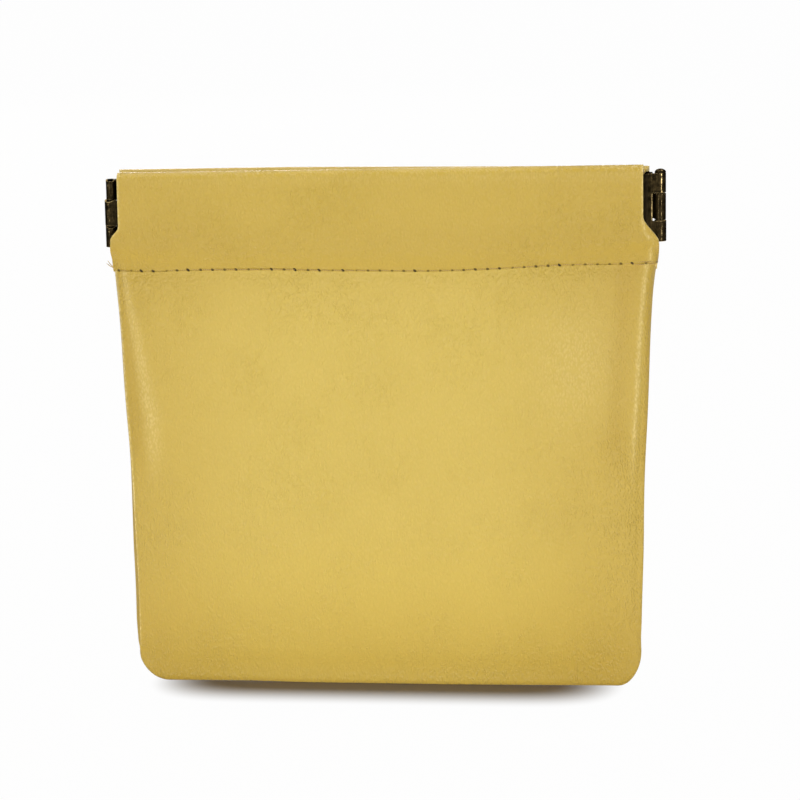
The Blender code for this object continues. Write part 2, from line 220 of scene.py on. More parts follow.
def bottom_lift(x):
    """The bottom seam isn't quite straight either: it stands on its middle."""
    at, lift = (-56, -47, -31, -20, 0, 15, 34, 49, 56), (0.05, 0.1, 0.2, 0, 0, 0, 0.15, 0.3, 0.3)
    return np.interp(x / MM, at, lift) * MM


def panel_face(side):
    """The panel's grain side as a grid, its lines closer together at the seams and at the stitches."""
    bunched = np.linspace(0, 1, 19) ** 2
    top = POCKET_TOP - np.array([0.0, 0.35, 0.7, 1.1, 1.6, 2.2, 3.0]) * MM
    z = np.concatenate([bunched * CORNER_REACH, np.arange(9.0, 89.0, 1.1) * MM, top[::-1]])
    share = np.concatenate([1 - bunched[::-1] * PANEL_DENSE, np.linspace(0, 1 - PANEL_DENSE, 46)[1:-1]])
    share = np.unique(np.round(np.concatenate([share, -share, [0.0]]), 9))
    z, share = np.meshgrid(z, share, indexing="ij")
    end = np.where(share < 0, LEFT, RIGHT)
    x = half_width(z, end) * share
    distance = edge_distance(x, z)
    corner = np.where(z < CORNER_REACH, smooth(distance, 0.3 * MM, CORNER_REACH), 1.0)
    depth = SEAM_HALF_DEPTH + (pocket_depth(x, z) - SEAM_HALF_DEPTH) * corner
    depth = depth + softness(side, x, z) * smooth(distance, 0.0, 9 * MM)
    depth = depth + seam_ridge(side * -x, z, distance) * smooth(distance, 0.4 * MM, 2.4 * MM)
    depth = depth - STITCH_PULL * hill(z, POCKET_TOP, STITCH_REACH) * smooth(distance, 0, 4 * MM)
    roll = np.sqrt(np.clip(1 - (1 - np.clip(distance / SEAM_ROLL, 0, 1)) ** 2, 0, 1))
    y = side * depth * roll
    groove = SEAM_GROOVE * hill(y, 0.0, SEAM_GROOVE) * np.where(z < 1.5 * MM, 0.4, 1.0)
    last = np.clip(1 - distance / (1.2 * MM if side == BACK else 3.0 * MM), 0, 1)
    wrap = seam_wrap(x, z)
    y = y - WRAP_DEPTH * wrap * last
    wander = (seam_wander(end, z) + WRAP_SPREAD * wrap) * np.exp(-distance / (6 * MM))
    x_moved = x + end * (wander - groove - WRAP_REACH * wrap * last**2) + lean(z)
    above = stitch_rise(side, x) * smooth(z, 45 * MM, POCKET_TOP)
    below = bottom_lift(x) * (1 - smooth(z, 0, 12 * MM))
    return np.stack([x_moved, y, z + above + below], axis=-1), distance / MM


def placed(name, data):
    """An object in the scene that holds this mesh, lamp or camera."""
    made = bpy.data.objects.new(name, data)
    bpy.context.scene.collection.objects.link(made)
    return made


def grid_object(name, points, looks_to):
    """A grid of points as an object, its faces turned so that the middle one looks towards looks_to."""
    rows, columns, _ = points.shape
    first = (np.arange(rows - 1)[:, None] * columns + np.arange(columns - 1)[None]).ravel()
    faces = np.stack([first, first + 1, first + columns + 1, first + columns], axis=1)
    flat = points.reshape(-1, 3)
    middle = faces[len(faces) // 2 + columns // 2]
    facing = np.cross(flat[middle[1]] - flat[middle[0]], flat[middle[3]] - flat[middle[0]])
    if np.dot(facing, looks_to) < 0:
        faces = faces[:, ::-1]
    mesh = bpy.data.meshes.new(name)
    mesh.from_pydata(flat.tolist(), [], faces.tolist())
    return placed(name, mesh)


def keep_on_points(made, **kept):
    """Stores a number for each point of the mesh, for its material to read."""
    for name, values in kept.items():
        stored = made.data.attributes.new(name, "FLOAT", "POINT")
        stored.data.foreach_set("value", values.astype(np.float32))


def thickened(made, thickness, edge_round, leather=True):
    """Gives a sheet its thickness and rounds its cut edges.

    Leather grows away from its grain side and gets its flesh side and cut edge as second and third
    materials. Steel grows to both sides alike."""
    solid = made.modifiers.new("thickness", "SOLIDIFY")
    solid.thickness = thickness
    solid.offset = -1.0 if leather else 0.0
    solid.use_even_offset = leather
    solid.material_offset = 1 if leather else 0
    solid.material_offset_rim = 2 if leather else 0
    if edge_round:
        rounded = made.modifiers.new("rounded edges", "BEVEL")
        rounded.width = edge_round
        rounded.segments = 3
        rounded.limit_method = "ANGLE"
        rounded.angle_limit = math.radians(50)
        rounded.material = 2 if leather else -1
    graph = bpy.context.evaluated_depsgraph_get()
    mesh = bpy.data.meshes.new_from_object(made.evaluated_get(graph))
    made.modifiers.clear()
    made.data = mesh
    mesh.shade_smooth()


def half_of(name, whole, end):
    """The half of a panel on one side of the middle, shaded with the whole panel's normals.

    Each runs on under the other as a narrow flap that dives inwards, so that no slit opens between them.
    The flesh side is pressed flat where the leather rolls over at the seam."""
    mesh = whole.data
    points = np.array([v.co for v in mesh.vertices])
    normals = np.array([v.normal for v in mesh.vertices])
    faces = np.array([list(p.vertices) for p in mesh.polygons])
    slots = np.array([p.material_index for p in mesh.polygons])
    edge = np.array([entry.value for entry in mesh.attributes["edge"].data])
    inner = np.unique(faces[slots == 1])
    close = 1 - smooth(edge[inner], 0.0, 4.0)
    points[inner, 1] *= 1 - FLESH_PRESSED * close
    points[inner, 0] -= np.sign(points[inner, 0]) * FLESH_DRAWN_IN * close
    past = (lean(points[:, 2]) - points[:, 0]) * end
    kept = past[faces].mean(axis=1) < FLAP
    points[:, 1] *= 1 - FLAP_DIVE * np.clip(past / MM, 0, 3)
    points[:, 2] += FLAP_RISE * np.clip(past / MM, 0, 1) * (1 - smooth(points[:, 2], 0, 3 * MM))
    used, local = np.unique(faces[kept], return_inverse=True)
    half = bpy.data.meshes.new(name)
    half.from_pydata(points[used].tolist(), [], local.reshape(-1, 4).tolist())
    half.polygons.foreach_set("material_index", slots[kept])
    half.shade_smooth()
    half.normals_split_custom_set([normals[v] for v in faces[kept].ravel()])
    made = placed(name, half)
    keep_on_points(made, edge=edge[used])
    return made


class Wire:
    """A shader socket that Python's own signs work on: a sum or product of it adds the Math node."""

    def __init__(self, tree, socket=None):
        self.tree = tree
        self.socket = socket

    def make(self, kind, settings=None, values=None, output=0):
        """Adds a node of this type with its settings, then the values or links of its sockets."""
        node = self.tree.nodes.new(kind)
        for name, value in (settings or {}).items():
            setattr(node, name, value)
        for name, value in (values or {}).items():
            if isinstance(value, Wire):
                self.tree.links.new(value.socket, node.inputs[name])
            else:
                node.inputs[name].default_value = value
        return Wire(self.tree, node.outputs[output] if node.outputs else None)

    def maths(self, operation, *values):
        """A Math node that does this with these values."""
        return self.make("ShaderNodeMath", {"operation": operation}, dict(enumerate(values)))

    def __add__(self, other):
        return self.maths("ADD", self, other)

    def __sub__(self, other):
        return self.maths("SUBTRACT", self, other)

    def __rsub__(self, other):
        return self.maths("SUBTRACT", other, self)

    def __mul__(self, other):
        return self.maths("MULTIPLY", self, other)

    def __truediv__(self, other):
        return self.maths("DIVIDE", self, other)

    def __rtruediv__(self, other):
        return self.maths("DIVIDE", other, self)

    __radd__ = __add__
    __rmul__ = __mul__

    def within(self, low, high, start=0.0, end=1.0):
        """start below low, end above high, and a soft step between them."""
        settings = {"interpolation_type": "SMOOTHSTEP"}
        return self.make("ShaderNodeMapRange", settings, {0: self, 1: low, 2: high, 3: start, 4: end})

    def noise(self, scale, detail=3.0, roughness=0.5, output=0):
        """Noise at this place: a number, or with output 1 a colour."""
        values = {"Vector": self, "Scale": scale, "Detail": detail, "Roughness": roughness}
        return self.make("ShaderNodeTexNoise", {}, values, output)

    def stretched(self, x, y, z):
        return self.make("ShaderNodeVectorMath", {"operation": "MULTIPLY"}, {0: self, 1: (x, y, z)})

    def shifted(self, other, amount):
        """This place, moved about by another vector."""
        moved = self.make("ShaderNodeVectorMath", {"operation": "SCALE"}, {0: other, "Scale": amount})
        return self.make("ShaderNodeVectorMath", {"operation": "ADD"}, {0: self, 1: moved})

    def mix(self, first, second):
        """first where this mask is 0, second where it is 1."""
        first, second = (v if isinstance(v, Wire) else (*v, 1.0) for v in (first, second))
        return self.make("ShaderNodeMix", {"data_type": "RGBA"}, {0: self, 6: first, 7: second}, 2)

    def stored(self, name):
        """The number that keep_on_points stored on the mesh under this name."""
        return self.make("ShaderNodeAttribute", {"attribute_name": name}, output=2)

    def bump(self, strength, distance):
        """The surface's normal, with this height in it."""
        return self.make("ShaderNodeBump", {}, {"Strength": strength, "Distance": distance, "Height": self})


def new_look(name):
    """An empty material, with the place on the object in millimetres."""
    look = bpy.data.materials.new(name)
    look.use_nodes = True
    look.node_tree.nodes.clear()
    root = Wire(look.node_tree)
    place = root.make("ShaderNodeTexCoord", output=3)
    return look, root, place.stretched(1000, 1000, 1000)


def shaded(look, root, values, fixed):
    """Ends a material in one Principled shader: values vary over the surface, fixed ones don't."""
    surface = root.make("ShaderNodeBsdfPrincipled", {}, {**fixed, **values})
    root.make("ShaderNodeOutputMaterial", {}, {"Surface": surface})
    return look


def grain_leather(name, light, deep):
    """Smooth, drum-dyed leather: fine drawn-out pebbles, painted shade and painted highlights, a soft sheen.
    """
    look, root, place = new_look(name)
    cloud = place.noise(0.05, 2.0)
    bent = place.shifted(place.noise(0.8, 1.0, output=1), 0.4).stretched(2.3, 2.3, 1.15)
    pebble = root.make("ShaderNodeTexVoronoi", {"feature": "F1"}, {"Vector": bent, "Scale": 1.0})
    pebble = pebble.within(0.1, 0.75, 1.0, 0.0)
    pores = place.noise(3.1, 2.0)
    creases = place.stretched(0.5, 0.5, 0.16).noise(0.9, 3.0, 0.6)
    patches = place.noise(0.07, 2.0)
    height = pebble * patches.within(0.35, 0.7, 0.65, 1.0) + pores * 0.4 + creases.within(0.35, 0.65) * 0.25
    # painted shade deepens the colour where the mesh stores it, with the dye's cloudy variation
    colour = (root.stored("handled") + (cloud - 0.5) * 0.2).mix(light, deep)
    # painted highlights in pale yellow where the mesh stores them, broken up by the pebbles
    colour = (root.stored("rubbed") * (pebble * 0.6 + 0.25)).mix(colour, RUBBED)
    freckle = (1 - pebble * 0.6 - pores * 0.4).within(0.25, 0.9, 0.0, 0.065)
    colour = freckle.mix(colour, tuple(c * 0.6 for c in deep))

    # painted shade: a dark needle hole between each stitch and the next, and a little in the fine groove
    # that the thread pulls
    pitch = STITCH_PITCH / MM
    across = root.stored("seam_across")
    step = root.stored("seam_along") / pitch
    number = step.maths("FLOOR", step)
    turn = root.make("ShaderNodeTexWhiteNoise", {"noise_dimensions": "1D"}, {"W": number})
    aside = (step.maths("FRACT", step) - 0.5) * pitch + (turn - 0.5) * 0.5
    slanted = across + aside * (turn - 0.3) * 0.7
    hole = root.maths("SQRT", aside * aside * 0.6 + slanted * slanted) - turn * 0.1
    dark = hole.within(0.1, 0.27, 1.0, 0.0) * (turn * 0.6 + 0.4)
    groove = across.maths("ABSOLUTE", across).within(0.05, 0.3, 1.0, 0.0)
    colour = (groove * 0.1).mix(colour, tuple(c * 0.5 for c in deep))
    colour = dark.mix(colour, (0.02, 0.006, 0.003))
    height = height - dark * 1.5 - groove * 0.2

    gloss = patches.within(0.3, 0.75, 0.38, 0.32) + pores * 0.08 + dark * 0.5
    varying = {"Base Color": colour, "Roughness": gloss, "Normal": height.bump(1.0, 0.15 * MM)}
    fixed = {"Specular IOR Level": 0.42, "Sheen Weight": 0.04, "Sheen Roughness": 0.5}
    return shaded(look, root, varying, fixed)


def flesh_side(name):
    """The leather's inner side: pale, matt, short-napped suede."""
    look, root, place = new_look(name)
    nap = place.noise(2.2, 4.0, 0.7)
    blotch = place.noise(0.12, 3.0)
    colour = (nap * 0.6 + blotch * 0.4).within(0.3, 0.7).mix((0.42, 0.29, 0.15), (0.6, 0.44, 0.26))
    varying = {"Base Color": colour, "Normal": nap.bump(0.6, 0.2 * MM)}
    return shaded(look, root, varying, {"Roughness": 0.92, "Specular IOR Level": 0.2})


def cut_edge(name):
    """The raw cut edge: the dyed skin, then paler fibres."""
    look, root, place = new_look(name)
    fibre = place.noise(4.0, 3.0, 0.6)
    colour = fibre.within(0.35, 0.65).mix((0.82, 0.62, 0.19), (0.88, 0.7, 0.3))
    varying = {"Base Color": colour, "Normal": fibre.bump(0.4, 0.1 * MM)}
    return shaded(look, root, varying, {"Roughness": 0.55})


def keep_leather_marks(made, side, handled, rubbed):
    """Stores where the needle holes come, and where shade and highlights are painted on the leather."""
    x, _, z = np.array([v.co for v in made.data.vertices]).T
    keep_on_points(
        made,
        seam_along=(x - STITCH_START[side]) / MM,
        seam_across=(z - POCKET_TOP - stitch_rise(side, x)) / MM,
        handled=handled,
        rubbed=rubbed,
    )


def towards_sides(x):
    """Painted shade: darker towards both sides, where the pouch turns from the light, a little more at the
    right.
    """
    return smooth(np.abs(x + 2 * MM), 18 * MM, 62 * MM)


def mark_panel(made, side):
    """Paints shade at a panel's sides, bottom, stitches and seams, and highlights on its seams and its
    bulge.
    """
    x, _, z = np.array([v.co for v in made.data.vertices]).T
    edge = np.array([entry.value for entry in made.data.attributes["edge"].data])
    seen = side * -x  # to the right as one looks at this panel
    crest, wide = seam_crest(seen, z)
    upper = smooth(z, 42 * MM, 60 * MM)
    # painted shade: darker towards the sides, the bottom and the stitches, where the surface turns from the
    # light
    handled = 0.7 * towards_sides(x) + 0.28 * smooth(z, 30 * MM, 1 * MM) + 0.2 * smooth(z, 78 * MM, 93 * MM)
    # painted shade: a band on the left seam's roll, and at the right one by the seam and one over the valley
    handled += 0.5 * upper * hill(edge, 0.45 * crest, 0.4 * crest) * (seen < 0)
    handled += upper * (0.6 * hill(edge, 0.0, 1.0) + 0.3 * hill(edge, crest + 4, 2.5)) * (seen > 0)
    # painted highlights: on the seam allowance's crest, and a pebbly patch on the bulge at the right
    rubbed = hill(edge, crest, 0.65 * wide) * upper * np.where(seen < 0, 0.45, 0.7)
    rubbed += 0.25 * hill(seen / MM, 42, 9) * hill(z / MM, 73, 13)
    if side == FRONT:
        # a painted highlight along the crest of the rolled seam low on the left
        line = 0.45 + 0.75 * seam_wrap(x, z) / MM
        rubbed += 1.1 * hill(edge, line, 0.36) * smooth(z, 7 * MM, 11 * MM) * (x < 0)
    else:
        # painted shade on the back panel's edge, where it comes round at the left
        handled += 0.8 * hill(edge, 0.0, 1.8) * (x < 0)
    keep_leather_marks(made, side, handled, rubbed)


FLESH, CUT = flesh_side("flesh side"), cut_edge("cut leather edge")
for side, word in ((FRONT, "front"), (BACK, "back")):
    grain = grain_leather(f"{word} panel leather", PANEL_LIGHT, PANEL_DEEP)
    face, edge = panel_face(side)
    whole = grid_object(f"{word}_panel_whole", face, (0.0, side, 0.0))
    keep_on_points(whole, edge=edge.ravel())
    for look in (grain, FLESH, CUT):
        whole.data.materials.append(look)
    thickened(whole, LEATHER, 0.0)
    for end, side_word in ((LEFT, "left"), (RIGHT, "right")):
        half = half_of(f"{word}_panel_{side_word}_half", whole, end)
        mark_panel(half, side)
        for look in (grain, FLESH, CUT):
            half.data.materials.append(look)
        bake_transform(half)
        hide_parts(f"{word}_panel")
    bpy.data.objects.remove(whole, do_unlink=True)


# The hems: the top of each panel is folded inward over its spring strip and sewn down, so that the
# strip lies in a channel. The channel's ends are open and cut straight, and the front one stops short
# of the right hinge. Below the strips the edge curves out to the side seam in a small shoulder.

HEM_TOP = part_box("front_hem_left")[1][2]
MOUTH_HALF_GAP = -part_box("front_hem_left")[1][1]
STRIP_BOTTOM, STRIP_TOP = (corner[2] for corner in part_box("front_spring_left"))
FOLD_RADIUS = 1.6 * MM
FOLD_Z = HEM_TOP - FOLD_RADIUS
HEM_INNER_END = 56.2 * MM
HEM_SLACK = 0.25 * MM  # between the hem's two walls, beside their leather
HEM_EDGE_ROUND = 0.24 * MM
HEM_DENSE = 0.035  # the share of its width at each end in which its grid lines lie closer together
TURN_IN = 3.0 * MM  # the raw edge inside the mouth, below the stitches
SIDE_SEAM_TOP = 94.7 * MM
SHOULDERS = {LEFT: (103.1 * MM, 100.2 * MM), RIGHT: (103.7 * MM, 97.7 * MM)}
HEM_ENDS = {FRONT: {LEFT: 57.5 * MM, RIGHT: 56.0 * MM}, BACK: {LEFT: 57.75 * MM, RIGHT: 57.2 * MM}}
# the hems are the same leather as the panels, coloured darker as painted shade
HEM_LIGHT, HEM_DEEP = (0.61, 0.42, 0.06), (0.52, 0.342, 0.042)


def hem_reach(side, end, z):
    """Where the outer wall stops, left or right."""
    above = HEM_ENDS[side][end]
    below = full_width(z) + seam_wander(end, z)
    return end * (above + (below - above) * smooth(z, *SHOULDERS[end])) + lean(z)


def hem_rise(side, x, z):
    """The hem keeps its width along the mouth, so its fold slopes as the stitches do, a little less."""
    at, rise = ((-60, 60), (-0.75, 1.0)) if side == FRONT else ((-60, -20, 60), (-0.5, 0.05, 0.2))
    up = np.clip((z - POCKET_TOP) / (FOLD_Z - POCKET_TOP), 0, 1)
    return stitch_rise(side, x) * (1 - up) + np.interp(x / MM, at, rise) * MM * up


def hem_depth(x, z):
    """The outer wall's distance from the middle plane, drawn in below the strip and at the stitches."""
    drawn = smooth(z, STRIP_BOTTOM - 0.6 * MM, SIDE_SEAM_TOP)
    depth = MOUTH_HALF_DEPTH + (pocket_depth(x, z) - MOUTH_HALF_DEPTH) * drawn
    near_end = smooth(full_width(z) - np.abs(x), 0, 4 * MM)
    return depth - STITCH_PULL * hill(z, POCKET_TOP, STITCH_REACH) * near_end


def hem_face(side):
    """Up the inner wall from the raw edge, over the fold and down the outer wall to the stitches."""
    share = np.linspace(0, 1, 9) ** 2 * HEM_DENSE
    middle = np.linspace(HEM_DENSE, 1 - HEM_DENSE, 108)[1:-1]
    share = np.concatenate([share, middle, (1 - share)[::-1]])
    rows = []
    for z in np.concatenate([[POCKET_TOP - TURN_IN], np.linspace(POCKET_TOP - 1 * MM, FOLD_Z, 18)]):
        x = HEM_INNER_END * (2 * share - 1)
        outer = hem_depth(x, np.full_like(x, max(z, POCKET_TOP)))
        lying = np.maximum(MOUTH_HALF_GAP, outer - 2 * LEATHER - HEM_SLACK)
        lies = smooth(z, STRIP_BOTTOM - 1 * MM, POCKET_TOP + 1.4 * MM)
        y = MOUTH_HALF_GAP + (lying - MOUTH_HALF_GAP) * lies
        rows.append((x, y, np.full_like(x, z)))
    for angle in np.linspace(0, math.pi, 13)[1:-1]:
        turn = smooth(angle, 0.0, 0.45 * math.pi)
        low = -HEM_INNER_END + (hem_reach(side, LEFT, FOLD_Z) + HEM_INNER_END) * turn
        high = HEM_INNER_END + (hem_reach(side, RIGHT, FOLD_Z) - HEM_INNER_END) * turn
        x = low + (high - low) * share
        y = MOUTH_HALF_GAP + FOLD_RADIUS * (1 - math.cos(angle))
        rows.append((x, np.full_like(x, y), np.full_like(x, FOLD_Z + FOLD_RADIUS * math.sin(angle))))
    down = [np.arange(FOLD_Z / MM, 97.0, -0.75), np.arange(97.0, 94.0, -0.5), [94.0, 93.6, 93.3, 93.0, 92.7]]
    for z in np.concatenate(down) * MM:
        low, high = hem_reach(side, LEFT, z), hem_reach(side, RIGHT, z)
        x = low + (high - low) * share
        soft = softness(side, x, z) * smooth(np.minimum(x - low, high - x), 0, 5 * MM)
        y = hem_depth(x, np.full_like(x, z)) + soft
        rows.append((x, y, np.full_like(x, z)))
    rows.append((x, y - 0.4 * MM, np.full_like(x, POCKET_TOP - 0.5 * MM)))
    return np.array([np.stack([x, side * y, z + hem_rise(side, x, z)], axis=-1) for x, y, z in rows])


def mark_hem(made, side):
    """Paints shade on a hem, more below its strip and at its flared corners, and highlights on its fold and
    ends.
    """
    x, _, z = np.array([v.co for v in made.data.vertices]).T
    edge = (full_width(z) - np.abs(x)) / MM
    low = smooth(z, 100 * MM, 97 * MM)
    # painted shade: the whole hem a little darker, more towards the sides, below the strip and at the flared
    # corners
    handled = 0.25 + 0.4 * towards_sides(x) + 0.2 * smooth(z, 108 * MM, 99 * MM)
    handled += 0.5 * hill(edge, 0.0, 0.9) * low
    # painted highlights along the fold's top, on the flared right corner and at the hem's cut ends
    rubbed = 0.12 * hill(z, HEM_TOP - 1 * MM, 1.6 * MM)
    rubbed += 0.6 * hill(edge, 1.5, 0.4) * low * (side * -x > 0)
    from_end = np.minimum(x - hem_reach(side, LEFT, z), hem_reach(side, RIGHT, z) - x) / MM
    rubbed += 0.8 * hill(from_end, 0.0, 0.3) * smooth(z, 98 * MM, 102 * MM)
    keep_leather_marks(made, side, handled, rubbed)


for side, word in ((FRONT, "front"), (BACK, "back")):
    hem = grid_object(f"{word}_hem", hem_face(side), (0.0, side, 0.0))
    grain = grain_leather(f"{word} hem leather", HEM_LIGHT, HEM_DEEP)
    for look in (grain, FLESH, CUT):
        hem.data.materials.append(look)
    thickened(hem, LEATHER, HEM_EDGE_ROUND)
    mark_hem(hem, side)
    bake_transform(hem)
    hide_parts(f"{word}_hem_left", f"{word}_hem_right")


# The stitching: one row of hand-sewn saddle stitches holds each hem down, in waxed tan thread that
# dips into a needle hole at both ends of every stitch; the holes are painted dark as shade on the
# leather. The row's ends are cut off a few millimetres long.

THREAD_RADIUS = 0.12 * MM
THREAD_SIDES = 8
THREAD_SUNK = 0.13 * MM  # a stitch's ends lie this far in, and its middle on the leather
STITCHES = {FRONT: 43, BACK: 44}
# the cut ends of the thread, by x, height above the stitches and height off the leather, in millimetres
FRONT_THREAD_ENDS = (
    ((53.7, 0.0, -0.05), (55.2, 0.22, 0.08), (56.6, 0.3, 0.1), (58.2, 0.16, 0.08), (59.1, 0.05, 0.02)),
    ((53.7, -0.1, -0.05), (55.2, -0.34, 0.08), (56.9, -0.42, 0.1), (58.4, -0.2, 0.08), (59.2, -0.02, 0.02)),
    ((-58.0, 0.1, -0.1), (-59.2, 0.5, 0.15), (-59.9, 1.1, 0.1), (-60.5, 1.9, 0.0)),
    ((-58.2, 0.0, -0.1), (-59.3, 0.4, 0.1), (-60.1, 0.8, 0.0), (-60.8, 1.3, -0.1)),
)


def seam_depth(x):
    """How far out the leather lies at the stitches."""
    return float(hem_depth(x, np.full_like(np.asarray(x, float), POCKET_TOP)))


def loft(shape, rings):
    """Skins these rings of points one after the other, and closes both ends."""
    rings = [[shape.verts.new(point) for point in ring] for ring in rings]
    count = len(rings[0])
    for low, high in zip(rings, rings[1:]):
        for k in range(count):
            shape.faces.new((low[k], low[(k + 1) % count], high[(k + 1) % count], high[k]))
    shape.faces.new(rings[0][::-1])
    shape.faces.new(rings[-1])


def finished(name, shape):
    """The modelled shape as a smooth object."""
    mesh = bpy.data.meshes.new(name)
    shape.to_mesh(mesh)
    shape.free()
    mesh.shade_smooth()
    return placed(name, mesh)


def thread_along(shape, path, radius):
    """A round thread through these points, thinner at its two ends."""
    path = [np.array(p) for p in path]
    turns = [2 * math.pi * j / THREAD_SIDES for j in range(THREAD_SIDES)]
    rings = []
    for k, point in enumerate(path):
        ahead = path[min(k + 1, len(path) - 1)] - path[max(k - 1, 0)]
        ahead = ahead / np.linalg.norm(ahead)
        across = np.cross(ahead, (0.0, 1.0, 0.0))
        across = across / np.linalg.norm(across)
        up = np.cross(across, ahead)
        here = radius * (0.6 if k in (0, len(path) - 1) else 1.0)
        rings.append([point + here * (math.cos(a) * across + math.sin(a) * up) for a in turns])
    loft(shape, rings)


def stitch_path(side, start, tilt):
    """One stitch from needle hole to needle hole, a little aslant."""
    path = []
    for t in np.linspace(0.1, 0.9, 7):
        x = start + STITCH_PITCH * t
        lift = THREAD_SUNK * math.sin(math.pi * t) - THREAD_SUNK
        z = POCKET_TOP + float(stitch_rise(side, x)) + tilt * (0.5 - t)
        path.append((x, side * (seam_depth(x) + lift), z))
    return path


def end_path(ends):
    """A cut end of the front thread, which runs off the leather's edge."""
    path = []
    for x, z, lift in np.array(ends) * MM:
        lying = seam_depth(min(max(x, -59 * MM), 59 * MM)) * (1 if abs(x) < 58.6 * MM else 0.75)
        path.append((x, -(lying + lift), z + POCKET_TOP + float(stitch_rise(FRONT, x))))
    return path


def thread_look(name):
    """Waxed linen thread, its twist in two browns."""
    look, root, place = new_look(name)
    values = {"Vector": place, "Scale": 1.6, "Distortion": 1.0}
    twist = root.make("ShaderNodeTexWave", {"bands_direction": "DIAGONAL"}, values)
    colour = twist.within(0.2, 0.8).mix((0.4, 0.24, 0.06), (0.62, 0.43, 0.13))
    varying = {"Base Color": colour, "Normal": twist.bump(0.5, 0.06 * MM)}
    return shaded(look, root, varying, {"Roughness": 0.5})


THREAD = thread_look("waxed tan thread")
for side, word in ((FRONT, "front"), (BACK, "back")):
    wander = random.Random(4 if side == FRONT else 9)
    shape = bmesh.new()
    for k in range(STITCHES[side]):
        tilt = wander.uniform(0.04, 0.2) * MM
        path = stitch_path(side, STITCH_START[side] + (k + 0.5) * STITCH_PITCH, tilt)
        thread_along(shape, path, THREAD_RADIUS * wander.uniform(0.8, 1.05))
    if side == FRONT:
        for ends in FRONT_THREAD_ENDS:
            thread_along(shape, end_path(ends), 0.75 * THREAD_RADIUS)
    stitching = finished(f"{word}_stitching", shape)
    stitching.data.materials.append(THREAD)
    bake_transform(stitching)


# The spring strips: two strips of spring steel, plated dark antique bronze. Their ends are rolled into
# knuckles, two on one end and one on the other, which mesh with the other strip's. The plating is
# worn to a dull gold on the edges; the gold down the crown of each knuckle is a painted highlight, and
# the dark inside the knuckles and where the strips leave their hems is painted shade.

PIN_REACH = next(joint["pos_m"][0] for joint in frame["joints"] if joint["name"] == "right_pin_hinge")
STEEL = 0.45 * MM
STEEL_EDGE_ROUND = 0.09 * MM
LEAF_Y = 1.55 * MM
LEAF_END = 57.9 * MM
JOGGLE_START = 56.5 * MM
ROLL_START = 58.8 * MM
ROLL_RADIUS = 1.075 * MM
ROLL_TURN = math.radians(292)
STRIP_SLANT = 0.7 * MM
LOW_SPLIT, HIGH_SPLIT = STRIP_BOTTOM + 4.7 * MM, STRIP_TOP - 4.4 * MM  # between the knuckles
HALF_GAP = 0.11 * MM  # on both sides of a split
KNUCKLES = (
    (STRIP_BOTTOM, LOW_SPLIT - HALF_GAP),
    (LOW_SPLIT + HALF_GAP, HIGH_SPLIT - HALF_GAP),
    (HIGH_SPLIT + HALF_GAP, STRIP_TOP),
)
KNUCKLE_RIM = 0.3 * MM
TIGHTNESS = {LEFT: (0.95, 1.0, 0.83), RIGHT: (1.0, 0.92, 0.92)}  # how tightly each is rolled, from below
TOP_LEFT_ASIDE = 0.22 * MM  # the tighter top left knuckle lies against the pin's inner side


def strip_line():
    """Half a strip from above: its middle line from the middle of the mouth out and round the pin."""
    line = [(x, LEAF_Y) for x in np.concatenate([np.linspace(0, 12, 13), [20, 30, 40, 50, 55]]) * MM]
    for t in np.linspace(0, 1, 6):
        x = JOGGLE_START + (LEAF_END - JOGGLE_START) * t
        line.append((x, LEAF_Y + (ROLL_RADIUS - LEAF_Y) * float(smooth(t, 0, 1))))
    line.append((ROLL_START, ROLL_RADIUS))
    for t in np.linspace(0, 1, 22):
        angle = math.pi / 2 - ROLL_TURN * t
        line.append((PIN_REACH + ROLL_RADIUS * math.cos(angle), ROLL_RADIUS * math.sin(angle)))
    return line


def strip_level(x, z):
    """The strips lie aslant in their channel, a little higher at the right."""
    middle = (STRIP_BOTTOM + STRIP_TOP) / 2
    return middle + (z - middle) * 0.98 + STRIP_SLANT * x / PIN_REACH


def in_knuckle(side, end, x, y, z):
    """Where a point of the strip's line comes to lie in its knuckle, and how far its rim is lifted.

    The left knuckles' upper rims are cut aslant and dip in front, and the top one's lower rim reaches
    down behind."""
    knuckle = int(z > LOW_SPLIT) + int(z > HIGH_SPLIT)
    lift = 0.0
    if abs(x) > ROLL_START + 0.05 * MM:
        tight = TIGHTNESS[end][knuckle]
        x, y = end * PIN_REACH + (x - end * PIN_REACH) * tight, y * tight
        if end == LEFT:
            rim = KNUCKLES[knuckle][1]
            rise, drop, start = (0.08, 0.4, -0.6) if knuckle else (0.18, 0.5, 0.0)
            dip = rise - drop * float(smooth(-side * y, start * MM, 1.1 * MM))
            lift = dip * MM * float(smooth(z, rim - 1.5 * MM, rim))
            x += TOP_LEFT_ASIDE * (knuckle == 2)
    if end == LEFT and knuckle == 2 and abs(x) > 58 * MM:
        rim = KNUCKLES[2][0]
        low = 0.25 + 0.4 * float(smooth(PIN_REACH - abs(x), 0.2 * MM, 0.8 * MM))
        behind = float(smooth(side * y, 0.4 * MM, 0.9 * MM))
        lift -= low * MM * (1 - float(smooth(z, rim, rim + 1 * MM))) * behind
    return x, y, lift


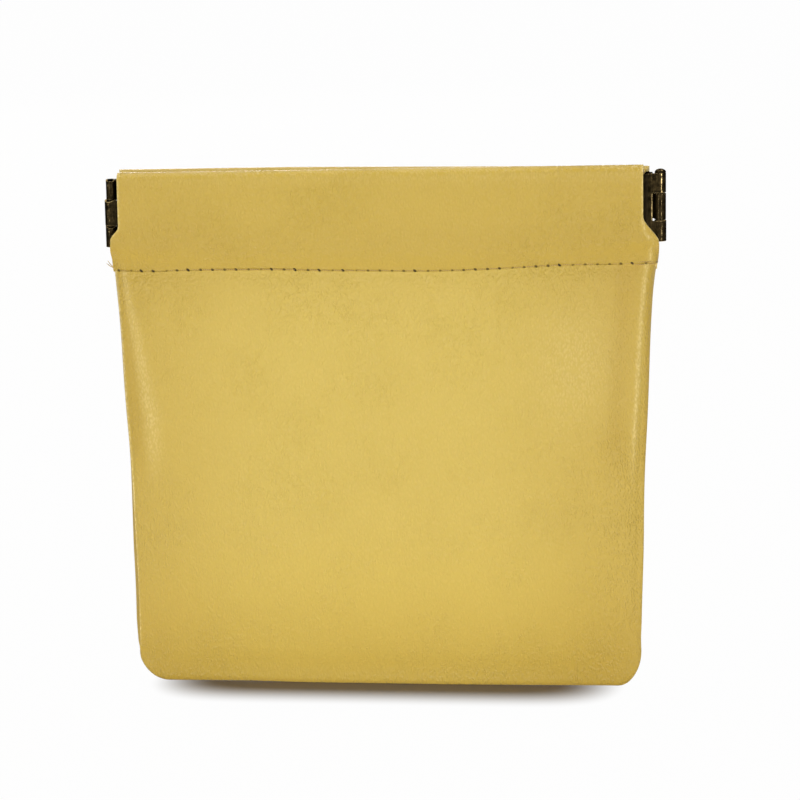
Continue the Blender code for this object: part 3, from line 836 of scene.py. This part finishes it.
def spring_strip(name, side, left_knuckles, right_knuckles):
    """One strip, end to end, cut from a flat grid and then rolled at both ends."""
    half = strip_line()
    line = [(-x, y, LEFT) for x, y in half[:0:-1]] + [(x, y, RIGHT) for x, y in half]
    levels = []
    for low, top in KNUCKLES:
        levels += [low, low + KNUCKLE_RIM, (low + top) / 2, top - KNUCKLE_RIM, top]
    shape = bmesh.new()
    grid = []
    for level in levels:
        row = [in_knuckle(side, end, x, y, level) for x, y, end in line]
        grid.append([shape.verts.new((x, side * y, strip_level(x, level) + lift)) for x, y, lift in row])
    first_roll = half.index((ROLL_START, ROLL_RADIUS))
    middle = len(half) - 1
    for j in range(len(levels) - 1):
        height = (levels[j] + levels[j + 1]) / 2
        for i in range(len(line) - 1):
            out = max(abs(i - middle), abs(i + 1 - middle))
            wanted = right_knuckles if i >= middle else left_knuckles
            if out < first_roll or any(KNUCKLES[k][0] < height < KNUCKLES[k][1] for k in wanted):
                shape.faces.new((grid[j][i], grid[j][i + 1], grid[j + 1][i + 1], grid[j + 1][i]))
    bmesh.ops.delete(shape, geom=[v for v in shape.verts if not v.link_faces], context="VERTS")
    made = finished(name, shape)
    thickened(made, STEEL, STEEL_EDGE_ROUND, leather=False)
    return made


def bronze(name):
    """Antique bronze plating: brown on faces, dull gold where worn and at painted highlights, nearly black
    in painted shade.
    """
    look, root, place = new_look(name)
    patina = place.noise(0.9, 3.0, 0.6)
    scratch = place.stretched(1.4, 1.4, 0.3).noise(3.0, 3.0, 0.6)
    specks = place.noise(4.0, 2.0)
    base = patina.within(0.3, 0.7).mix((0.007, 0.005, 0.002), (0.032, 0.022, 0.009))
    base = scratch.within(0.55, 0.72, 0.0, 0.16).mix(base, (0.24, 0.17, 0.07))
    # gold where the plating is worn, and on the knuckles' crowns as painted highlights
    rubbed = (root.stored("wear") + scratch * 0.9 + specks * 0.6 - 1.18).within(0.0, 0.45)
    colour = rubbed.mix(base, (0.78, 0.57, 0.25))
    # painted shade: nearly black inside the knuckles and where the strips leave their hems
    colour = root.stored("grime").mix(colour, (0.004, 0.003, 0.002))
    rough = 0.34 - rubbed * 0.06 + specks * 0.12
    relief = (specks * 0.5 + scratch).bump(0.5, 0.05 * MM)
    varying = {"Base Color": colour, "Roughness": rough, "Normal": relief}
    return shaded(look, root, varying, {"Metallic": 0.9, "Specular Tint": (0.2, 0.17, 0.12, 1.0)})


def mark_wear(made):
    """Gold where cut edges are worn, painted highlights on the knuckles' crowns, painted shade inside them
    and by the hems.
    """
    x, y, z = np.array([v.co for v in made.data.vertices]).T
    tilt = np.abs(np.array([v.normal for v in made.data.vertices])[:, 2])
    out = np.abs(x) - PIN_REACH
    angle = np.degrees(np.arctan2(-y, out * np.sign(x)))
    from_pin = np.hypot(out, y) / MM
    on_roll = (out > -1.2 * MM) & (from_pin > 0.95)
    low, high = strip_level(x, LOW_SPLIT), strip_level(x, HIGH_SPLIT)
    top, between = z > high, (z > low) & (z < high)
    # painted highlights down each knuckle's crown, and a second one on the right middle knuckle
    crown = np.where(x > 0, 74, 104)
    broad = np.where(x < 0, 24, np.where(z < low, 19, 11))
    rubbed = np.where(x < 0, 0.42, np.where(top, 0.75, 0.5)) * hill(angle, crown, broad)
    rubbed = np.maximum(rubbed, 0.5 * hill(angle, 106, 9) * between * (x > 0)) * on_roll
    notch = 0.8 * hill(np.abs(x), LEAF_END, 0.16 * MM) * between * (x * y < 0)
    rims = ((tilt > 0.42) & (tilt < 0.98)) * np.where(z > STRIP_TOP - 0.6 * MM, 0.5, 0.8)
    # painted shade inside the knuckles and on the strips where they leave their hems
    inside = (from_pin < 0.8) & (out > -1.0 * MM)
    hidden = hill(np.abs(x), np.where(x < 0, 57.9, 56.6) * MM, 0.5 * MM)
    wear = np.maximum(np.maximum(rims, rubbed), notch)
    keep_on_points(made, wear=wear, grime=np.maximum(inside * 0.9, hidden * 0.85))


BRONZE = bronze("antique bronze plating")
for side, word, knuckles in ((FRONT, "front", ((1,), (0, 2))), (BACK, "back", ((0, 2), (1,)))):
    strip = spring_strip(f"{word}_spring_strip", side, *knuckles)
    mark_wear(strip)
    strip.data.materials.append(BRONZE)
    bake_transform(strip)
    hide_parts(f"{word}_spring_left", f"{word}_spring_right")


# The pins: a steel pin holds the knuckles together at each end of the mouth. The right one was put in
# last and has a domed head, and the left one sits below the rim of its knuckle.

PIN_RADIUS = 0.6 * MM
PIN_SIDES = 32
POINT_RADIUS, POINT_HEIGHT = PIN_RADIUS - 0.15 * MM, 0.15 * MM  # the chamfer at the right pin's foot
RIGHT_FOOT, LEFT_FOOT = 99.65 * MM, 98.65 * MM
LEFT_TOP_SUNK = 2.2 * MM
HEAD_RADIUS, HEAD_RISE, HEAD_SIDE = 1.22 * MM, 0.75 * MM, 0.1 * MM


def turned(name, centre, profile):
    """A lathe-turned piece from its radius at each height, closed at both ends."""
    turns = [2 * math.pi * k / PIN_SIDES for k in range(PIN_SIDES)]
    shape = bmesh.new()
    loft(shape, [[(centre + r * math.cos(a), r * math.sin(a), z) for a in turns] for r, z in profile])
    return finished(name, shape)


rim = strip_level(PIN_REACH, STRIP_TOP)
seat = rim + 0.02 * MM
right_profile = [(POINT_RADIUS, RIGHT_FOOT), (PIN_RADIUS, RIGHT_FOOT + POINT_HEIGHT), (PIN_RADIUS, seat)]
right_profile.append((HEAD_RADIUS - HEAD_SIDE, seat))
for turn in np.linspace(0, 1.45, 9):
    right_profile.append((HEAD_RADIUS * math.cos(turn), seat + HEAD_SIDE + HEAD_RISE * math.sin(turn)))
sunk = strip_level(-PIN_REACH, STRIP_TOP) - LEFT_TOP_SUNK
left_profile = [(POINT_RADIUS, LEFT_FOOT), (PIN_RADIUS, LEFT_FOOT + 0.16 * MM), (PIN_RADIUS, sunk)]
left_profile.append((PIN_RADIUS - 0.12 * MM, sunk + 0.1 * MM))
right_pin = turned("right_hinge_pin", PIN_REACH, right_profile)
left_pin = turned("left_hinge_pin", -PIN_REACH, left_profile)
pins = ((right_pin, "right_pin", "front_right_strip"), (left_pin, "left_pin", "back_left_strip"))
for pin, node, body in pins:
    crowned = np.array([v.co.z for v in pin.data.vertices]) > rim + 0.4 * MM
    keep_on_points(pin, wear=crowned * 0.45)
    pin.data.materials.append(BRONZE)
    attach(pin, body)
    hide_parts(node)


# The table, lamps and camera: the pouch stands on a plain white tabletop in even, soft light. The camera
# sees the table's own shading only in a band round the bottom edge, where the table is dark brown for
# the camera as a painted shadow, and plain white further off.

IMAGE = 800  # pixels each way
PIXELS_PER_MM = 4.58  # at the middle of the object
DISTANCE = 0.70  # of the camera from its target
YAW, PITCH, ROLL = math.radians(6.0), math.radians(12.0), math.radians(0.9)
TARGET = (0.0030, 0.0, 0.0645)  # what the camera looks at
FILM_WIDTH = 36.0
TABLE_HALF = 3.0
WHITE = (1, 1, 1, 1)

table_mesh = bpy.data.meshes.new("table")
corners = [(x * TABLE_HALF, y * TABLE_HALF, 0.0) for x, y in ((-1, -1), (1, -1), (1, 1), (-1, 1))]
table_mesh.from_pydata(corners, [], [(0, 1, 2, 3)])
table = placed("table", table_mesh)
look, root, place = new_look("white table")
sight = root.make("ShaderNodeLightPath", output="Is Camera Ray")
paper = place.noise(0.02, 2.0).within(0.3, 0.7).mix((0.93, 0.93, 0.925), (0.95, 0.95, 0.945))
# painted shadow: for the camera, the table is dark brown near the pouch, which deepens the contact shadow
paper = (sight * 0.9).mix(paper, (0.2, 0.155, 0.11))
values = {"Base Color": paper, "Roughness": 0.8, "Specular IOR Level": 0.1}
shade = root.make("ShaderNodeBsdfPrincipled", {}, values)
white = root.make("ShaderNodeEmission", {}, {"Color": WHITE, "Strength": 1.0})
east, north = (place.make("ShaderNodeSeparateXYZ", {}, {0: place}, output) for output in (0, 1))
beside = root.maths("POWER", root.maths("ABSOLUTE", east + 1.0) * 0.02, 4.0) * 13
away = root.maths("SQRT", beside * beside + north * north)
far_off = sight * away.within(4, 17, 0.0, 0.985)
table_seen = root.make("ShaderNodeMixShader", {}, {0: far_off, 1: shade, 2: white})
root.make("ShaderNodeOutputMaterial", {}, {"Surface": table_seen})
table_mesh.materials.append(look)

world = bpy.data.worlds.new("soft white room")
bpy.context.scene.world = world
world.use_nodes = True
world.node_tree.nodes.clear()
room = Wire(world.node_tree)
seen, glossy, through = (
    room.make("ShaderNodeLightPath", output=f"Is {ray} Ray") for ray in ("Camera", "Glossy", "Transmission")
)
dim = room.make("ShaderNodeBackground", {}, {"Color": WHITE, "Strength": 0.23})
bright = room.make("ShaderNodeBackground", {}, {"Color": WHITE, "Strength": 1.0})
walls = room.make("ShaderNodeMixShader", {}, {0: seen + glossy * 0.35 + through, 1: dim, 2: bright})
room.make("ShaderNodeOutputWorld", {}, {"Surface": walls})


def lamp(name, place, look_at, size, watts):
    """A soft rectangular lamp at this place, turned to look at a point."""
    data = bpy.data.lights.new(name, "AREA")
    data.shape = "RECTANGLE"
    data.size, data.size_y = size
    data.energy = watts
    made = placed(name, data)
    made.location = place
    away = np.array(place) - np.array(look_at)
    tip, turn = math.acos(away[2] / np.linalg.norm(away)), math.atan2(away[1], away[0]) + math.pi / 2
    made.rotation_euler = (tip, 0.0, turn)


lamp("overhead softbox", (0.0, 0.12, 1.0), (0, 0, 0.03), (0.9, 0.3), 6.7)
lamp("front right softbox", (0.5, -1.0, 0.16), (0, 0, 0.06), (0.3, 0.3), 4.45)
lamp("front left softbox", (-0.62, -0.85, 0.14), (0, 0, 0.06), (0.3, 0.3), 3.2)
lamp("back softbox", (-0.25, 1.1, 0.3), (0, 0, 0.06), (0.4, 0.3), 3.6)

camera_data = bpy.data.cameras.new("camera")
camera_data.sensor_width = FILM_WIDTH
camera_data.lens = FILM_WIDTH * PIXELS_PER_MM * DISTANCE / MM / IMAGE
camera_data.clip_start = 0.01
camera = placed("camera", camera_data)
away = np.array([math.sin(YAW) * math.cos(PITCH), -math.cos(YAW) * math.cos(PITCH), math.sin(PITCH)])
right = np.array([math.cos(YAW), math.sin(YAW), 0.0])
up = np.cross(away, right)
right, up = right * math.cos(ROLL) - up * math.sin(ROLL), up * math.cos(ROLL) + right * math.sin(ROLL)
rows = np.column_stack([right, up, away, np.array(TARGET) + away * DISTANCE]).tolist()
camera.matrix_world = Matrix(rows + [(0, 0, 0, 1)])
bpy.context.scene.camera = camera
bpy.context.scene.view_settings.view_transform = "Standard"
